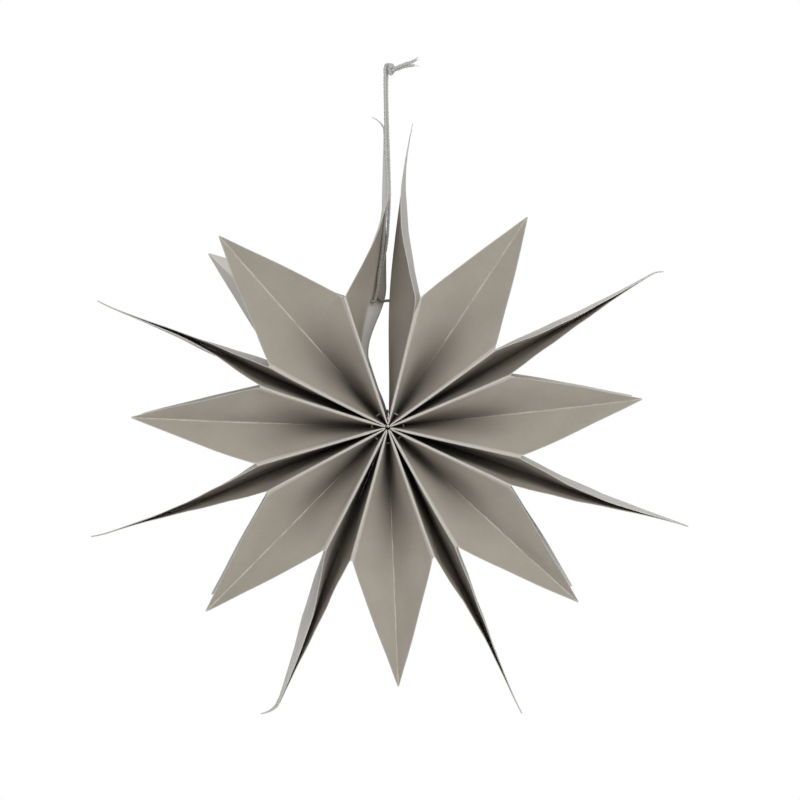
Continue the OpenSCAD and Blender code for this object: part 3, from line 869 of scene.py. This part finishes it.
def stopper(name, hole, inward, phase):
    """Knot that holds a string inside its bag."""
    curve = knot_curve(hole + inward * STOPPER_IN, STOPPER_SIZE)
    ob, _ = yarn(name, curve, STOPPER_R, STRING, phase=phase)
    neck_points = [hole - inward * SUNK] + [hole + inward * depth for depth in NECK_IN]
    neck, _ = yarn(name + "_neck", smooth_path(neck_points, NECK_STEPS), KNOT_R, STRING,
                   phase=phase)
    return join(name, [ob, neck])


left_stopper = stopper("left_stopper", left_hole, left_in, 0.5)
right_stopper = stopper("right_stopper", right_hole, right_in, 1.2)
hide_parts("left_string")
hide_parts("right_string")


# Bags
for b in range(BAGS):
    paper_bag(b, paper_material("paper_%d" % (b + 1), b + 1))

# The binding thread keeps its solid, and it is tied in the gap between the two free end panels
THREAD_R, THREAD_X = 7.4, HALF_W - 0.6 * GUSSET_D
TIE_R, TIE_END_R, TIE_SIZE, TIE_STEPS = 0.34, 0.3, (0.6, 0.6, 0.7), 6
TIE_LOWER = [(20.8, 4.3), (21.8, 3.3), (23.0, 2.4)]
TIE_UPPER = [(20.9, 5.8), (22.2, 6.2), (23.4, 5.9)]


def gap_at(x, s):
    return lifted((panel_at(*LOW_CUT_PANEL, x, s) + panel_at(*PULLED_PANEL, x, s)) / 2)


tie = gap_at(THREAD_X, THREAD_R - HUB_R)
tie_parts = [yarn("thread_knot", knot_curve(tie, TIE_SIZE), TIE_R, THREAD, pitch=2.5, sides=12)[0]]
for name, ends in (("tie_lower", TIE_LOWER), ("tie_upper", TIE_UPPER)):
    run = smooth_path([tie] + [gap_at(x, s) for x, s in ends], TIE_STEPS)
    tie_parts.append(yarn(name, run, TIE_END_R, THREAD, pitch=2.5, sides=12, taper=0.8)[0])
thread_knot = join("thread_knot", tie_parts)
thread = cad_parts["binding_thread"]
thread.data.materials.clear()
thread.data.materials.append(THREAD)

# Floor, light and background
FLOOR_Z, FLOOR_R, FLOOR_SIDES = -0.62, 1.4, 96
FLOOR_GREY, FLOOR_WHITENED = 0.82, 0.75
ROOM_COLOUR, ROOM_LIGHT = (0.97, 0.985, 1), 0.38


def seen_rays(nt):
    """1 for rays that show a surface, straight or in a shine, and 0 for those that light others."""
    rays = nt.nodes.new("ShaderNodeLightPath").outputs
    return math_node(nt, "MAXIMUM", rays["Is Camera Ray"],
                     math_node(nt, "MAXIMUM", rays["Is Glossy Ray"], rays["Is Transmission Ray"]))


def plain_shader(nt, kind, colour, strength=None):
    n = nt.nodes.new(kind)
    n.inputs["Color"].default_value = (*colour, 1)
    if strength is not None:
        n.inputs["Strength"].default_value = strength
    return n.outputs[0]


def mix_shaders(nt, fac, a, b, out):
    mixed = nt.nodes.new("ShaderNodeMixShader")
    for sock, v in zip(mixed.inputs, (fac, a, b)):
        nt.links.new(v, sock)
    nt.links.new(mixed.outputs[0], out.inputs[0])


floor_mat, nt, out = new_material("floor")
mix_shaders(nt, times(nt, seen_rays(nt), FLOOR_WHITENED),
            plain_shader(nt, "ShaderNodeBsdfDiffuse", (FLOOR_GREY,) * 3),
            plain_shader(nt, "ShaderNodeEmission", (1, 1, 1), 1.0), out)
turns = [i * math.pi / (FLOOR_SIDES // 2) for i in range(FLOOR_SIDES)]
disc = [(FLOOR_R * math.cos(a), FLOOR_R * math.sin(a), FLOOR_Z) for a in turns]
floor = mesh_object("floor", disc, [tuple(range(FLOOR_SIDES))], floor_mat)

world = bpy.data.worlds.new("world")
scene.world = world
world.use_nodes = True
nt = world.node_tree
nt.nodes.clear()
out = nt.nodes.new("ShaderNodeOutputWorld")
mix_shaders(nt, seen_rays(nt),
            plain_shader(nt, "ShaderNodeBackground", ROOM_COLOUR, ROOM_LIGHT),
            plain_shader(nt, "ShaderNodeBackground", (1, 1, 1), 1.0), out)


def area_light(name, place, size, power, colour):
    data = bpy.data.lights.new(name, "AREA")
    data.shape = "RECTANGLE"
    data.size, data.size_y = size
    data.energy = power
    data.color = colour
    ob = bpy.data.objects.new(name, data)
    scene.collection.objects.link(ob)
    ob.location = place
    aim = Vector((0, 0, -HANG_H / 1000)) - Vector(place)
    ob.rotation_euler = aim.to_track_quat("-Z", "Y").to_euler()
    ob.visible_camera = False


area_light("key", (0.72, -1.2, 0.55), (0.8, 0.8), 12, (1.0, 0.985, 0.96))
area_light("fill", (-0.7, -1.8, 0.1), (1.2, 1.2), 8.5, (1.0, 0.98, 0.95))
area_light("back", (-0.3, 1.5, 0.2), (2.0, 2.0), 30, (1.0, 1.0, 1.0))
